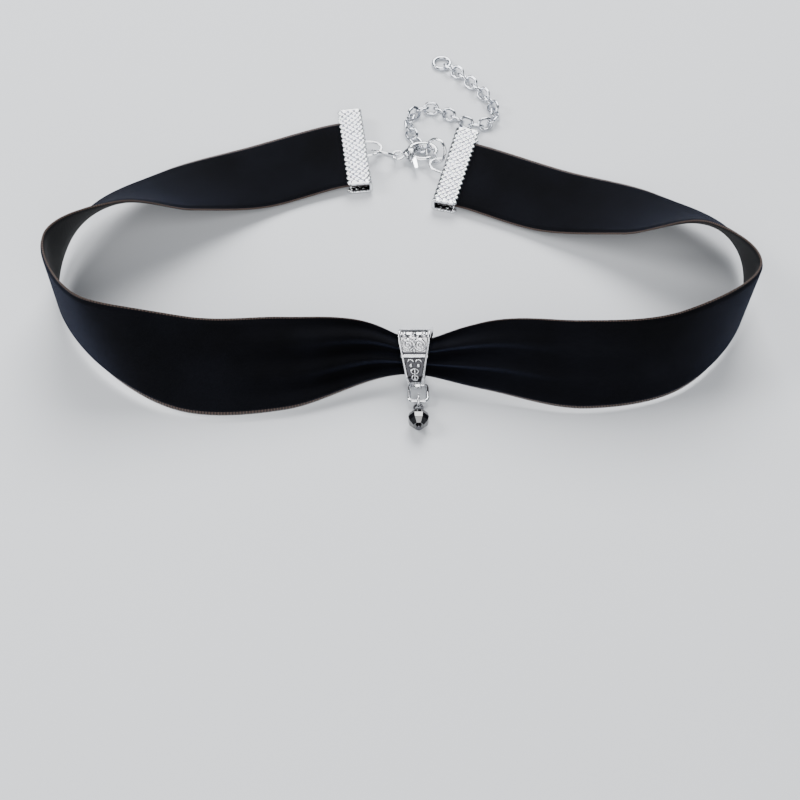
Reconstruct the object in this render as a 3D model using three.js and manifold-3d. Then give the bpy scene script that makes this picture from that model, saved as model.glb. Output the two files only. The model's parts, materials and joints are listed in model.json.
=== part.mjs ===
// A velvet ribbon choker lying on a table, closed by its lobster clasp, with its extension chain laid
// out behind it and a small drop on an ornate bail in front. Millimetres, +X right, +Y towards the
// clasp, +Z up. The finished group is moved so that its box stands centred on the origin.

import * as THREE from 'three';
import { mergeVertices } from 'three/addons/utils/BufferGeometryUtils.js';
import Module from 'manifold-3d';

const wasm = await Module();
wasm.setup();

// ---------------------------------------------------------------- driving sizes

const RIBBON = { width: 18, wall: 1, steps: 4, columns: 12, pleats: 3 };
const GATHER = { x: 3.8, share: 0.5, reach: 16, neck: 0.14, neckReach: 6, lift: 0.21 };
const CLAMP = { length: 20.6, width: 5, plate: 0.7, mouth: 1.6, hold: 4, overhang: 1 };
const EAR = { base: 4.4, reach: 3.2, rim: 0.5, thick: 0.5, left: 0.2, right: -0.4 };
const BAIL = { width: 5.8, foot: 3.1, top: 5.4, bottom: 3.8, depth: 5.4, wall: 0.75, corner: 1.0 };
const BAIL_RAIL = { width: 0.55, height: 0.35 };
const BAIL_EYE = { drop: 5.2, radius: 0.98, hole: 0.66, width: 1.5 };
const CLASP = { x: 0.35, y: 47.3, z: 1.6, turn: 11, eye: 1.1, eyeWire: 0.26, flatness: 0.8 };
const LEVER = { x: 2.6, y: -0.7, thick: 0.8, slot: 1.5, bore: 0.5, tab: 3.4, tabHalf: 0.5, tip: 0.4 };
const RIVET = { radius: 0.42, length: 3 };
const RING_LEFT = { at: [-2.3, 47.4, 2.15], facing: [0.2, 0.7, 0.7], mean: 2.55, wire: 0.28 };
const RING_RIGHT = { at: [7.9, 47.7, 2.4], facing: [-0.65, -0.6, 0.5], mean: 2.4, wire: 0.3 };
const END_RING = { at: [9.6, 75.4, 0.45], facing: [0, 0, 1], mean: 1.75, wire: 0.4 };
const LINK = { length: 3.4, width: 2.8, wire: 0.3 };
const FIRST_LINK = { at: [5.7, 48.8, 1.7], along: [0, 0.4, -0.9], side: [1, -0.1, 0] };
const STIRRUP = { x: 4.0, length: 3.6, width: 3.3, corner: 0.7, wire: 0.36 };
const DROP_RING = { mean: 1.3, wire: 0.22, reach: 0.3 };
const DROP = { radius: 2, length: 3.6, bore: 0.45, facets: 8, table: 0.5, girdle: 0.88, tilt: 10, z: 1.48 };
const EYE_PIN = { loop: 0.75, wire: 0.22, head: 0.65, headThick: 0.3, play: 0.3 };

// The ribbon's sections, from its left end round the front to its right end. Each row is one cross
// line of the band: where its lower edge is, how high that edge is lifted, how far the band leans
// from upright, and the direction that it leans towards (0 is +X, 90 is +Y).
const RIBBON_ROWS = [
  { x: -8.0, y: 56.8, lift: 1.5, lean: 90, towards: -82.4 },
  { x: -12.9, y: 56.2, lift: 1.5, lean: 90, towards: -82.4 },
  { x: -29.5, y: 50.2, lift: 1.2, lean: 88, towards: -75 },
  { x: -46.5, y: 42, lift: 2.5, lean: 73, towards: -62 },
  { x: -60, y: 29.5, lift: 4, lean: 45, towards: -42 },
  { x: -63.5, y: 12.5, lift: 1.5, lean: 6, towards: -60 },
  { x: -55, y: -3.5, lift: 1.5, lean: 4, towards: 130 },
  { x: -39, y: -14.5, lift: 0.8, lean: 34, towards: 78 },
  { x: -20, y: -14.5, lift: 0.5, lean: 42, towards: 88 },
  { x: -2, y: -9.5, lift: 0.8, lean: 40, towards: 91 },
  { x: 16, y: -11, lift: 0.5, lean: 32, towards: 98 },
  { x: 34, y: -14, lift: 0.5, lean: 27, towards: 102 },
  { x: 51.5, y: -9.5, lift: 0.5, lean: 15, towards: 112 },
  { x: 63.5, y: 5.5, lift: 1, lean: 4, towards: -60 },
  { x: 64.8, y: 23.5, lift: 3.5, lean: 40, towards: -136 },
  { x: 51, y: 36, lift: 2.5, lean: 74, towards: -120 },
  { x: 33.5, y: 43.6, lift: 1.2, lean: 88, towards: -111 },
  { x: 17, y: 50.4, lift: 1.5, lean: 90, towards: -103.9 },
  { x: 12.4, y: 51.6, lift: 1.5, lean: 90, towards: -103.9 },
];

// The chain's route on the table, from under the clasp's hook to its free end. Each row is a place
// on the table and half the thickness of the links there, which lie flat where the hook is over them.
const CHAIN_ROWS = [
  { x: 4.7, y: 50.7, half: 0.4 },
  { x: 3.6, y: 52.8, half: 0.8 },
  { x: 2.4, y: 56.0, half: 1.2 },
  { x: 3.4, y: 59.8, half: 1.2 },
  { x: 6.2, y: 61.5, half: 1.2 },
  { x: 9.2, y: 60.6, half: 1.2 },
  { x: 12.2, y: 58.2, half: 1.2 },
  { x: 15.4, y: 56.4, half: 1.2 },
  { x: 18.6, y: 56.4, half: 1.2 },
  { x: 20.5, y: 58.8, half: 1.2 },
  { x: 19.9, y: 62.0, half: 1.2 },
  { x: 18.2, y: 65.4, half: 1.2 },
  { x: 15.4, y: 69.0, half: 1.2 },
  { x: 12.3, y: 72.6, half: 1.2 },
];

// The clasp's hook, from the cheeks round to its nose, and the lever's gate, in the clasp's own
// plane with its eye at the origin. Each row is one section: its middle and its half thickness.
const HOOK_ROWS = [
  { x: 2.4, y: 0.9, half: 0.8 },
  { x: 3.5, y: 1.9, half: 0.72 },
  { x: 5.0, y: 2.15, half: 0.62 },
  { x: 6.6, y: 1.7, half: 0.6 },
  { x: 7.6, y: 0.5, half: 0.6 },
  { x: 7.6, y: -0.7, half: 0.55 },
  { x: 7.2, y: -1.4, half: 0.45 },
];
const GATE_ROWS = [
  { x: 2.6, y: -0.7, half: 0.5 },
  { x: 3.6, y: -1.6, half: 0.48 },
  { x: 5.0, y: -2.0, half: 0.42 },
  { x: 6.3, y: -1.85, half: 0.36 },
];
// The cheeks' round body: r is its radius at the distance x from the eye's middle.
const CHEEK_PROFILE = [
  { r: 0, x: 0.85 },
  { r: 0.55, x: 0.95 },
  { r: 1.1, x: 1.5 },
  { r: 1.5, x: 2.2 },
  { r: 1.45, x: 3.0 },
  { r: 1.1, x: 3.7 },
  { r: 0, x: 3.9 },
];

// ---------------------------------------------------------------- helpers

const radians = THREE.MathUtils.degToRad;
const vector = (x, y, z = 0) => new THREE.Vector3(x, y, z);
const UP = vector(0, 0, 1);

/** The same closed geometry with its faces turned outwards. */
function facingOut(geometry) {
  const corner = [vector(0, 0), vector(0, 0), vector(0, 0)];
  const index = geometry.index.array;
  let volume = 0;
  for (let i = 0; i < index.length; i += 3) {
    corner.forEach((point, k) => point.fromBufferAttribute(geometry.attributes.position, index[i + k]));
    volume += corner[0].dot(corner[1].clone().cross(corner[2]));
  }
  if (volume < 0) {
    for (let i = 0; i < index.length; i += 3) {
      [index[i + 1], index[i + 2]] = [index[i + 2], index[i + 1]];
    }
  }
  return geometry;
}

/** The geometry as a manifold solid, keeping only positions. */
function solidOf(geometry) {
  const bare = geometry.clone();
  for (const name of Object.keys(bare.attributes)) {
    if (name !== 'position') bare.deleteAttribute(name);
  }
  const merged = facingOut(mergeVertices(bare, 1e-4));
  return new wasm.Manifold(new wasm.Mesh({
    numProp: 3,
    vertProperties: new Float32Array(merged.attributes.position.array),
    triVerts: new Uint32Array(merged.index.array),
  }));
}

/** A manifold solid as three.js geometry. */
function geometryOf(solid) {
  const mesh = solid.getMesh();
  const geometry = new THREE.BufferGeometry();
  geometry.setAttribute('position', new THREE.BufferAttribute(mesh.vertProperties, mesh.numProp));
  geometry.setIndex(new THREE.BufferAttribute(mesh.triVerts, 1));
  return geometry;
}

/** A closed geometry over sections with equally many points, capped at both ends or joined up. */
function skin(sections, joined = false) {
  const across = sections[0].length;
  const faces = [];
  const at = (i, j) => (i % sections.length) * across + (j % across);
  const spans = joined ? sections.length : sections.length - 1;
  for (let i = 0; i < spans; i += 1) {
    for (let j = 0; j < across; j += 1) {
      faces.push(at(i, j), at(i + 1, j), at(i + 1, j + 1));
      faces.push(at(i, j), at(i + 1, j + 1), at(i, j + 1));
    }
  }
  if (!joined) {
    const last = sections.length - 1;
    for (let j = 0; j < across / 2 - 1; j += 1) {
      const k = across - 1 - j;
      faces.push(at(0, j), at(0, j + 1), at(0, k - 1));
      faces.push(at(0, j), at(0, k - 1), at(0, k));
      faces.push(at(last, j), at(last, k), at(last, k - 1));
      faces.push(at(last, j), at(last, k - 1), at(last, j + 1));
    }
  }
  const geometry = new THREE.BufferGeometry().setFromPoints(sections.flat());
  geometry.setIndex(faces.filter((_, n) => !isFlatFace(faces, n)));
  return facingOut(geometry);
}

/** Whether entry n belongs to a face that names one point twice, as the last faces of a cap do. */
function isFlatFace(faces, n) {
  const [a, b, c] = faces.slice(n - (n % 3), n - (n % 3) + 3);
  return a === b || b === c || c === a;
}

/** A round bar along rows of the XY plane, each with its half thickness, centred on the plane or lying on it. */
function bar(rows, { sides = 10, steps = 4, lying = false } = {}) {
  const path = new THREE.CatmullRomCurve3(rows.map((row) => vector(row.x, row.y, row.half)));
  const sections = [];
  const count = (rows.length - 1) * steps;
  for (let i = 0; i <= count; i += 1) {
    const middle = path.getPoint(i / count);
    const along = path.getTangent(i / count).setZ(0).normalize();
    const side = along.clone().cross(UP);
    const half = middle.z;
    middle.z = lying ? half : 0;
    const section = [];
    for (let j = 0; j < sides; j += 1) {
      const angle = (2 * Math.PI * (j + 0.5)) / sides;
      section.push(middle.clone().addScaledVector(side, half * Math.cos(angle))
        .addScaledVector(UP, half * Math.sin(angle)));
    }
    sections.push(section);
  }
  return skin(sections);
}

/** A wire bent round a closed stirrup or oval in the XY plane. */
function wireLink(length, width, corner, wire, sides = 8, around = 40) {
  const outline = new THREE.Shape();
  const x = width / 2 - corner;
  const y = length / 2 - corner;
  outline.moveTo(0, -y - corner);
  outline.lineTo(x, -y - corner);
  outline.absarc(x, -y, corner, -Math.PI / 2, 0);
  outline.lineTo(x + corner, y);
  outline.absarc(x, y, corner, 0, Math.PI / 2);
  outline.lineTo(-x, y + corner);
  outline.absarc(-x, y, corner, Math.PI / 2, Math.PI);
  outline.lineTo(-x - corner, -y);
  outline.absarc(-x, -y, corner, Math.PI, Math.PI * 1.5);
  outline.closePath();
  const sections = [];
  for (let i = 0; i < around; i += 1) {
    const point = outline.getPointAt(i / around);
    const along = outline.getTangentAt(i / around);
    const section = [];
    for (let j = 0; j < sides; j += 1) {
      const angle = (2 * Math.PI * (j + 0.5)) / sides;
      const out = wire * Math.cos(angle);
      section.push(vector(point.x + along.y * out, point.y - along.x * out, wire * Math.sin(angle)));
    }
    sections.push(section);
  }
  return skin(sections, true);
}

function prism(shape, depth) {
  return new THREE.ExtrudeGeometry(shape, { depth, bevelEnabled: false, curveSegments: 12 });
}

function metal(colour, roughness) {
  return new THREE.MeshStandardMaterial({ color: colour, roughness, metalness: 1 });
}

const SILVER = { colour: 0xd9dbdd, roughness: 0.22 };

function piece(name, geometry, material = metal(SILVER.colour, SILVER.roughness)) {
  const mesh = new THREE.Mesh(geometry, material);
  mesh.name = name;
  return mesh;
}

// ---------------------------------------------------------------- ribbon

const crossLine = (row) => {
  const lean = radians(row.lean);
  const towards = radians(row.towards);
  return vector(Math.sin(lean) * Math.cos(towards), Math.sin(lean) * Math.sin(towards), Math.cos(lean));
};
const lowerRail = new THREE.CatmullRomCurve3(RIBBON_ROWS.map((row) => vector(row.x, row.y, row.lift)));
const upperRail = new THREE.CatmullRomCurve3(RIBBON_ROWS.map((row) => (
  vector(row.x, row.y, row.lift).addScaledVector(crossLine(row), RIBBON.width))));

/** One cross line of the band: its lower edge, width, direction up the band and outward normal. */
function ribbonSection(t) {
  const low = lowerRail.getPoint(t);
  const up = upperRail.getPoint(t).sub(low).normalize();
  const along = lowerRail.getTangent(t).add(upperRail.getTangent(t)).normalize();
  const out = along.clone().cross(up).normalize();
  const away = (low.x - GATHER.x);
  let share = 1;
  if (low.y < 0) {
    share -= (1 - GATHER.share) * Math.exp(-((away / GATHER.reach) ** 2));
    share -= GATHER.neck * Math.exp(-((away / GATHER.neckReach) ** 2));
  }
  const width = RIBBON.width * share;
  low.addScaledVector(up, (RIBBON.width - width) * GATHER.lift);
  return { low, up, along, out, width };
}

/** How far the gathered cloth swings out of its plane: what is left over from the width goes into pleats. */
function pleat(width, across) {
  const spare = Math.sqrt(Math.max(RIBBON.width / width - 1, 0));
  return (width / (Math.PI * RIBBON.pleats)) * spare * Math.sin(2 * Math.PI * RIBBON.pleats * across);
}

function makeRibbon() {
  const sections = [];
  const count = (RIBBON_ROWS.length - 1) * RIBBON.steps;
  for (let i = 0; i <= count; i += 1) {
    const { low, up, out, width } = ribbonSection(i / count);
    const outer = [];
    const inner = [];
    for (let j = 0; j <= RIBBON.columns; j += 1) {
      const across = j / RIBBON.columns;
      const middle = low.clone().addScaledVector(up, width * across);
      const swing = pleat(width, across);
      outer.push(middle.clone().addScaledVector(out, swing + RIBBON.wall / 2));
      inner.unshift(middle.clone().addScaledVector(out, swing - RIBBON.wall / 2));
    }
    sections.push([...outer, ...inner]);
  }
  const velvet = new THREE.MeshStandardMaterial({ color: 0x0a0b12, roughness: 0.95, metalness: 0 });
  return piece('ribbon', skin(sections), velvet);
}

// ---------------------------------------------------------------- clamps

/** A folded plate with its mouth towards -X and an ear on its back, lying in the XY plane. */
function clampGeometry(earOffset) {
  const half = CLAMP.width / 2;
  const height = CLAMP.mouth / 2 + CLAMP.plate;
  const fold = new THREE.Shape();
  fold.moveTo(-half, CLAMP.mouth / 2);
  fold.lineTo(half - CLAMP.plate, CLAMP.mouth / 2);
  fold.lineTo(half - CLAMP.plate, -CLAMP.mouth / 2);
  fold.lineTo(-half, -CLAMP.mouth / 2);
  fold.lineTo(-half, -height);
  fold.lineTo(half - CLAMP.plate, -height);
  fold.absarc(half - CLAMP.plate, -height + CLAMP.plate, CLAMP.plate, -Math.PI / 2, 0);
  fold.lineTo(half, height - CLAMP.plate);
  fold.absarc(half - CLAMP.plate, height - CLAMP.plate, CLAMP.plate, 0, Math.PI / 2);
  fold.lineTo(-half, height);
  fold.closePath();
  const plates = prism(fold, CLAMP.length);
  plates.translate(0, 0, -CLAMP.length / 2);
  plates.rotateX(Math.PI / 2);

  const root = half - 0.2;
  const outline = new THREE.Shape();
  outline.absellipse(root, 0, EAR.reach + 0.2, EAR.base / 2, -Math.PI / 2, Math.PI / 2);
  outline.closePath();
  const hole = new THREE.Path();
  const inner = { reach: EAR.reach - EAR.rim - 0.1, half: EAR.base / 2 - EAR.rim };
  hole.absellipse(half + 0.1, 0, inner.reach, inner.half, -Math.PI / 2, Math.PI / 2);
  hole.closePath();
  outline.holes.push(hole);
  const ear = prism(outline, EAR.thick);
  ear.translate(0, earOffset, -EAR.thick / 2);
  return geometryOf(solidOf(plates).add(solidOf(ear)));
}

/** Sets a clamp on one end of the band: side is 0 at the band's start and 1 at its end. */
function makeClamp(name, side) {
  const { low, up, width, along } = ribbonSection(side);
  const back = along.clone().multiplyScalar(side === 0 ? -1 : 1).setZ(0).normalize();
  const middle = low.clone().addScaledVector(up, width / 2 - CLAMP.overhang);
  middle.addScaledVector(back, CLAMP.width / 2 - CLAMP.hold);
  const mesh = piece(name, clampGeometry(side === 0 ? EAR.left : EAR.right), metal(0xe2e4e6, 0.3));
  mesh.position.copy(middle);
  mesh.rotation.z = Math.atan2(back.y, back.x);
  return mesh;
}

// ---------------------------------------------------------------- rings and chain

/** A round wire ring with its middle and the way that it faces. */
function makeRing(name, ring) {
  const mesh = piece(name, new THREE.TorusGeometry(ring.mean, ring.wire, 8, 28));
  mesh.quaternion.setFromUnitVectors(UP, vector(...ring.facing).normalize());
  mesh.position.set(...ring.at);
  return mesh;
}

function makeFirstLink() {
  const width = LINK.width - 2 * LINK.wire;
  const mesh = piece('chain_link_first', wireLink(LINK.length - 2 * LINK.wire, width, width / 2, LINK.wire));
  const along = vector(...FIRST_LINK.along).normalize();
  const facing = vector(...FIRST_LINK.side).cross(along).normalize();
  mesh.quaternion.setFromRotationMatrix(
    new THREE.Matrix4().makeBasis(along.clone().cross(facing), along, facing));
  mesh.position.set(...FIRST_LINK.at);
  return mesh;
}

/** The chain after its first link, as one bar along its route. */
function makeChain() {
  return piece('chain', bar(CHAIN_ROWS, { sides: 8, steps: 3, lying: true }), metal(0xc9ccd0, 0.25));
}

// ---------------------------------------------------------------- clasp

/** The hole or rivet through the clasp where its lever turns. */
function leverAxis(radius, length, sides) {
  const cylinder = new THREE.CylinderGeometry(radius, radius, length, sides);
  cylinder.rotateX(Math.PI / 2);
  return cylinder.translate(LEVER.x, LEVER.y, 0);
}

function claspBody() {
  const eye = new THREE.TorusGeometry(CLASP.eye, CLASP.eyeWire, 8, 24);
  const cheeks = new THREE.LatheGeometry(CHEEK_PROFILE.map(({ r, x }) => new THREE.Vector2(r, x)), 20);
  cheeks.rotateZ(-Math.PI / 2);
  cheeks.scale(1, 1, CLASP.flatness);
  // The slot that the lever lies in is open to the right and below, and closed behind and above.
  const slot = new THREE.BoxGeometry(6, 3.4, LEVER.slot);
  slot.translate(LEVER.x + 2, -1.6, 0);
  const bore = leverAxis(LEVER.bore, 2 * RIVET.length, 16);
  return geometryOf(solidOf(cheeks).subtract(solidOf(slot)).subtract(solidOf(bore))
    .add(solidOf(eye)).add(solidOf(bar(HOOK_ROWS))));
}

/** The lever: its gate, and the thumb tab that stands out below its rivet. */
function claspLever() {
  const tab = new THREE.Shape();
  tab.moveTo(-LEVER.tabHalf, 0);
  tab.lineTo(-LEVER.tip, -LEVER.tab);
  tab.absarc(0, -LEVER.tab, LEVER.tip, Math.PI, 2 * Math.PI);
  tab.lineTo(LEVER.tabHalf, 0);
  tab.closePath();
  const thumb = prism(tab, LEVER.thick);
  thumb.translate(LEVER.x + 0.3, LEVER.y, -LEVER.thick / 2);
  const bore = leverAxis(LEVER.bore, 2 * RIVET.length, 16);
  return geometryOf(solidOf(bar(GATE_ROWS)).add(solidOf(thumb)).subtract(solidOf(bore)));
}

function makeClasp() {
  const clasp = new THREE.Group();
  clasp.add(piece('clasp_body', claspBody()), piece('clasp_lever', claspLever()));
  clasp.add(piece('clasp_pin', leverAxis(RIVET.radius, RIVET.length, 12)));
  clasp.position.set(CLASP.x, CLASP.y, CLASP.z);
  clasp.rotation.z = radians(CLASP.turn);
  return clasp;
}

// ---------------------------------------------------------------- bail and drop

/** The gathered band's section under the bail, as a frame: X along the band, Y up it, Z out of it. */
function bailFrame() {
  let t = 0;
  let best = Infinity;
  for (let i = 0; i <= 2000; i += 1) {
    const point = lowerRail.getPoint(i / 2000);
    const off = point.y < 0 ? Math.abs(point.x - GATHER.x) : Infinity;
    if (off < best) {
      best = off;
      t = i / 2000;
    }
  }
  const { low, up, out, width } = ribbonSection(t);
  const side = up.clone().cross(out);
  return { middle: low.addScaledVector(up, width / 2), side, up, out };
}

/** A rounded loop outline about the pleats, in the plane of the band's Y and Z. */
function loopOutline(shape, top, bottom, halfDepth, corner) {
  shape.moveTo(top - corner, -halfDepth);
  shape.quadraticCurveTo(top, -halfDepth, top, 0);
  shape.quadraticCurveTo(top, halfDepth, top - corner, halfDepth);
  shape.lineTo(-bottom + corner, halfDepth);
  shape.quadraticCurveTo(-bottom, halfDepth, -bottom, 0);
  shape.quadraticCurveTo(-bottom, -halfDepth, -bottom + corner, -halfDepth);
  shape.closePath();
  return shape;
}

/** The bail's strip seen from the side, wider all round by grow, as a prism across its whole width. */
function bailLoop(grow) {
  const half = BAIL.depth / 2;
  const outline = loopOutline(new THREE.Shape(), BAIL.top + grow, BAIL.bottom + BAIL.wall + grow,
    half + grow, BAIL.corner + BAIL.wall + grow);
  outline.holes.push(loopOutline(
    new THREE.Path(), BAIL.top - BAIL.wall, BAIL.bottom, half - BAIL.wall, BAIL.corner));
  const loop = prism(outline, BAIL.width + 1);
  loop.translate(0, 0, -(BAIL.width + 1) / 2);
  // The outline's X is up the band and its Y out of it, so the prism is turned to stand along X.
  return loop.applyMatrix4(new THREE.Matrix4().makeBasis(vector(0, 1, 0), vector(0, 0, 1), vector(1, 0, 0)));
}

/** The bail's tapered outline, narrower by inset on each side, as a prism from a depth out past its front. */
function bailTaper(inset, from = -BAIL.depth / 2 - 1) {
  const wide = BAIL.width / 2 - inset;
  const narrow = BAIL.foot / 2 - inset;
  const shoulder = BAIL.top - 1.5;
  const taper = new THREE.Shape();
  taper.moveTo(-wide, BAIL.top + 1);
  taper.lineTo(-wide, shoulder);
  taper.lineTo(-narrow, -BAIL.bottom);
  taper.lineTo(-narrow, -BAIL.bottom - 2);
  taper.lineTo(narrow, -BAIL.bottom - 2);
  taper.lineTo(narrow, -BAIL.bottom);
  taper.lineTo(wide, shoulder);
  taper.lineTo(wide, BAIL.top + 1);
  taper.closePath();
  return prism(taper, BAIL.depth / 2 + 1 - from).translate(0, 0, from);
}

function bailGeometry() {
  const eye = new THREE.CylinderGeometry(BAIL_EYE.radius, BAIL_EYE.radius, BAIL_EYE.width, 20);
  eye.rotateZ(Math.PI / 2);
  eye.translate(0, -BAIL_EYE.drop, 0);
  const bore = new THREE.CylinderGeometry(BAIL_EYE.hole, BAIL_EYE.hole, BAIL.width, 16);
  bore.rotateZ(Math.PI / 2);
  bore.translate(0, -BAIL_EYE.drop, 0);
  const rails = solidOf(bailLoop(BAIL_RAIL.height)).intersect(solidOf(bailTaper(0, 0)))
    .subtract(solidOf(bailTaper(BAIL_RAIL.width)));
  return geometryOf(solidOf(bailLoop(0)).intersect(solidOf(bailTaper(0))).add(rails)
    .add(solidOf(eye)).subtract(solidOf(bore)));
}

function makeBail() {
  const frame = bailFrame();
  const mesh = piece('bail', bailGeometry());
  mesh.quaternion.setFromRotationMatrix(new THREE.Matrix4().makeBasis(frame.side, frame.up, frame.out));
  mesh.position.copy(frame.middle);
  return mesh;
}

/** The stirrup hangs in the bail's eye and slopes down until its lower bar crosses the little ring. */
function makeStirrup(eye, barZ) {
  const stirrup = piece('u_link', wireLink(STIRRUP.length, STIRRUP.width, STIRRUP.corner, STIRRUP.wire));
  const slope = Math.asin((eye.z - barZ) / STIRRUP.length);
  const run = STIRRUP.length * Math.cos(slope);
  stirrup.position.set(STIRRUP.x, eye.y - run / 2, (eye.z + barZ) / 2);
  stirrup.rotation.x = slope;
  return { stirrup, foot: eye.y - run };
}

/** The eye pin: a loop at the top, a stem through the drop and a flat head below it. */
function eyePin() {
  const stemLength = DROP.length + 2 * EYE_PIN.play;
  const neck = -2 * EYE_PIN.loop;
  const loop = new THREE.TorusGeometry(EYE_PIN.loop, EYE_PIN.wire, 8, 20);
  loop.translate(0, -EYE_PIN.loop, 0);
  const stem = new THREE.CylinderGeometry(EYE_PIN.wire, EYE_PIN.wire, stemLength, 10);
  stem.translate(0, neck - stemLength / 2, 0);
  const head = new THREE.CylinderGeometry(EYE_PIN.head, EYE_PIN.head, EYE_PIN.headThick, 12);
  head.translate(0, neck - stemLength - EYE_PIN.headThick / 2, 0);
  return geometryOf(solidOf(loop).add(solidOf(stem)).add(solidOf(head)));
}

/** The drop: a faceted barrel with flat ends and a hole for its pin. */
function faceted() {
  const half = DROP.length / 2;
  const table = DROP.table * DROP.radius;
  const girdle = DROP.girdle * DROP.radius;
  const profile = [
    new THREE.Vector2(DROP.bore, -half),
    new THREE.Vector2(table, -half),
    new THREE.Vector2(girdle, -half / 2),
    new THREE.Vector2(DROP.radius, 0),
    new THREE.Vector2(girdle, half / 2),
    new THREE.Vector2(table, half),
    new THREE.Vector2(DROP.bore, half),
    new THREE.Vector2(DROP.bore, -half),
  ];
  const bead = new THREE.LatheGeometry(profile, DROP.facets);
  bead.rotateY(Math.PI / DROP.facets);
  return bead.translate(0, -2 * EYE_PIN.loop - EYE_PIN.play - half, 0);
}

function makeDrop() {
  const frame = bailFrame();
  const eye = frame.middle.clone().addScaledVector(frame.up, -BAIL_EYE.drop);
  const ringTop = DROP_RING.mean + DROP_RING.wire;
  const { stirrup, foot } = makeStirrup(eye, ringTop - 0.4);

  const ring = piece('drop_ring', new THREE.TorusGeometry(DROP_RING.mean, DROP_RING.wire, 8, 24));
  ring.rotation.y = Math.PI / 2;
  ring.position.set(STIRRUP.x, foot - DROP_RING.reach, ringTop);

  const drop = new THREE.Group();
  const black = new THREE.MeshStandardMaterial({ color: 0x050506, roughness: 0.05, metalness: 0 });
  drop.add(piece('drop_pin', eyePin()), piece('drop_bead', faceted(), black));
  drop.position.set(STIRRUP.x, ring.position.y - DROP_RING.mean + EYE_PIN.loop - 0.11, DROP.z);
  drop.rotation.x = -radians(DROP.tilt);
  return [stirrup, ring, drop];
}

// ---------------------------------------------------------------- the choker

const choker = new THREE.Group();
choker.add(makeRibbon(), makeClamp('clamp_left', 0), makeClamp('clamp_right', 1));
choker.add(makeRing('ring_left', RING_LEFT), makeClasp(), makeRing('ring_right', RING_RIGHT));
choker.add(makeFirstLink(), makeChain(), makeRing('end_ring', END_RING), makeBail(), ...makeDrop());

const box = new THREE.Box3().setFromObject(choker, true);
choker.position.set(-(box.min.x + box.max.x) / 2, -(box.min.y + box.max.y) / 2, -box.min.z);

export default choker;
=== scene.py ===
# %% [markdown]
# # A velvet ribbon choker
# The choker lies on a table: a black velvet ribbon, two metal ribbon clamps, a lobster clasp, an
# extension chain, and a small drop on an ornate bail. Its solid parts were modelled first, at real
# size, and they are loaded here as a fixed frame. Every piece below is made in metres in that frame,
# stands for one of its parts, and moves with the body that the part belongs to.

# %% Load the frame
import json
import math

import bmesh
import bpy
import numpy as np
from mathutils import Matrix, Vector

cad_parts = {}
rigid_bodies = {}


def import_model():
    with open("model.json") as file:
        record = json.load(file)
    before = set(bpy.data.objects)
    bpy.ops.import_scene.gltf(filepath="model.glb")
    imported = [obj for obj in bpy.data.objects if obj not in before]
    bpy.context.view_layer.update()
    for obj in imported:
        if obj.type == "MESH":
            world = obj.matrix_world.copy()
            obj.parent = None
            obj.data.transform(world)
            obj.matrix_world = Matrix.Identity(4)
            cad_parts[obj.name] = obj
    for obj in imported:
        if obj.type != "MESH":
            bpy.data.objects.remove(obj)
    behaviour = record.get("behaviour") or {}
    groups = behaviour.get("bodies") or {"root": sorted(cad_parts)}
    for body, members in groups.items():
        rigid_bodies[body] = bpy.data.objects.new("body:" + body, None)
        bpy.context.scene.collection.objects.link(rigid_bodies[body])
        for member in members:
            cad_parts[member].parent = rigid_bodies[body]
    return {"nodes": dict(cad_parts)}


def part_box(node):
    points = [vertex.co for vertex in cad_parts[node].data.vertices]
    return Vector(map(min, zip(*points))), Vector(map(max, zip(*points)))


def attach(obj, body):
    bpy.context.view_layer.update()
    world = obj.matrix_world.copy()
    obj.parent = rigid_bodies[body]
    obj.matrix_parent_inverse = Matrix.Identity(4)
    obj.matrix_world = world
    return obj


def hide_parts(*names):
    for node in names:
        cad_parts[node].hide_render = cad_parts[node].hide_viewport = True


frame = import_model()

MM = 0.001
TURN = 2 * math.pi
MERGE_MM = 0.002
in_scene = bpy.context.scene.collection.objects
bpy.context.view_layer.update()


def table_of(columns, *rows):
    """A list of rows, each with its values under the names of the columns."""
    return [dict(zip(columns.split(), row)) for row in rows]


# %% [markdown]
# ## Camera
# The camera is made first, because everything is judged through it. It looks down at the table at
# 55 degrees, from in front of the drop, with a lens that takes in 30 degrees. The point that it looks
# at lies on the table just in front of the choker, so that the choker fills the upper half.

# %% Camera
ELEVATION = math.radians(55)
LENS_ANGLE = math.radians(30)
CAMERA_DISTANCE = 268 * MM
LOOKED_AT = Vector((-0.3, -40.6, 0)) * MM

camera_data = bpy.data.cameras.new("camera")
camera_data.angle = LENS_ANGLE
camera_data.clip_start = 0.01
camera = bpy.data.objects.new("camera", camera_data)
camera.location = LOOKED_AT + CAMERA_DISTANCE * Vector((0, -math.cos(ELEVATION), math.sin(ELEVATION)))
camera.rotation_euler = (TURN / 4 - ELEVATION, 0, 0)
in_scene.link(camera)
bpy.context.scene.camera = camera
print("camera stands", round(camera.location.z, 3), "m above the table")

# %% [markdown]
# ## A helper for materials
# A material is a tree of nodes. Adding a node, setting its sockets and naming its options takes
# three or four lines each time, so one short function does all of it. Numbers that are the same all
# over a surface are set on the shader's own sockets with this function too.

# %% Node helper
def add(tree, kind, sockets=None, **options):
    """Adds one node, sets its options, and sets its sockets to values or joins them to other sockets."""
    made = tree.nodes.new(kind)
    for name, value in options.items():
        setattr(made, name, value)
    for name, value in (sockets or {}).items():
        if isinstance(value, bpy.types.NodeSocket):
            tree.links.new(value, made.inputs[name])
        else:
            made.inputs[name].default_value = value
    return made


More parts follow.
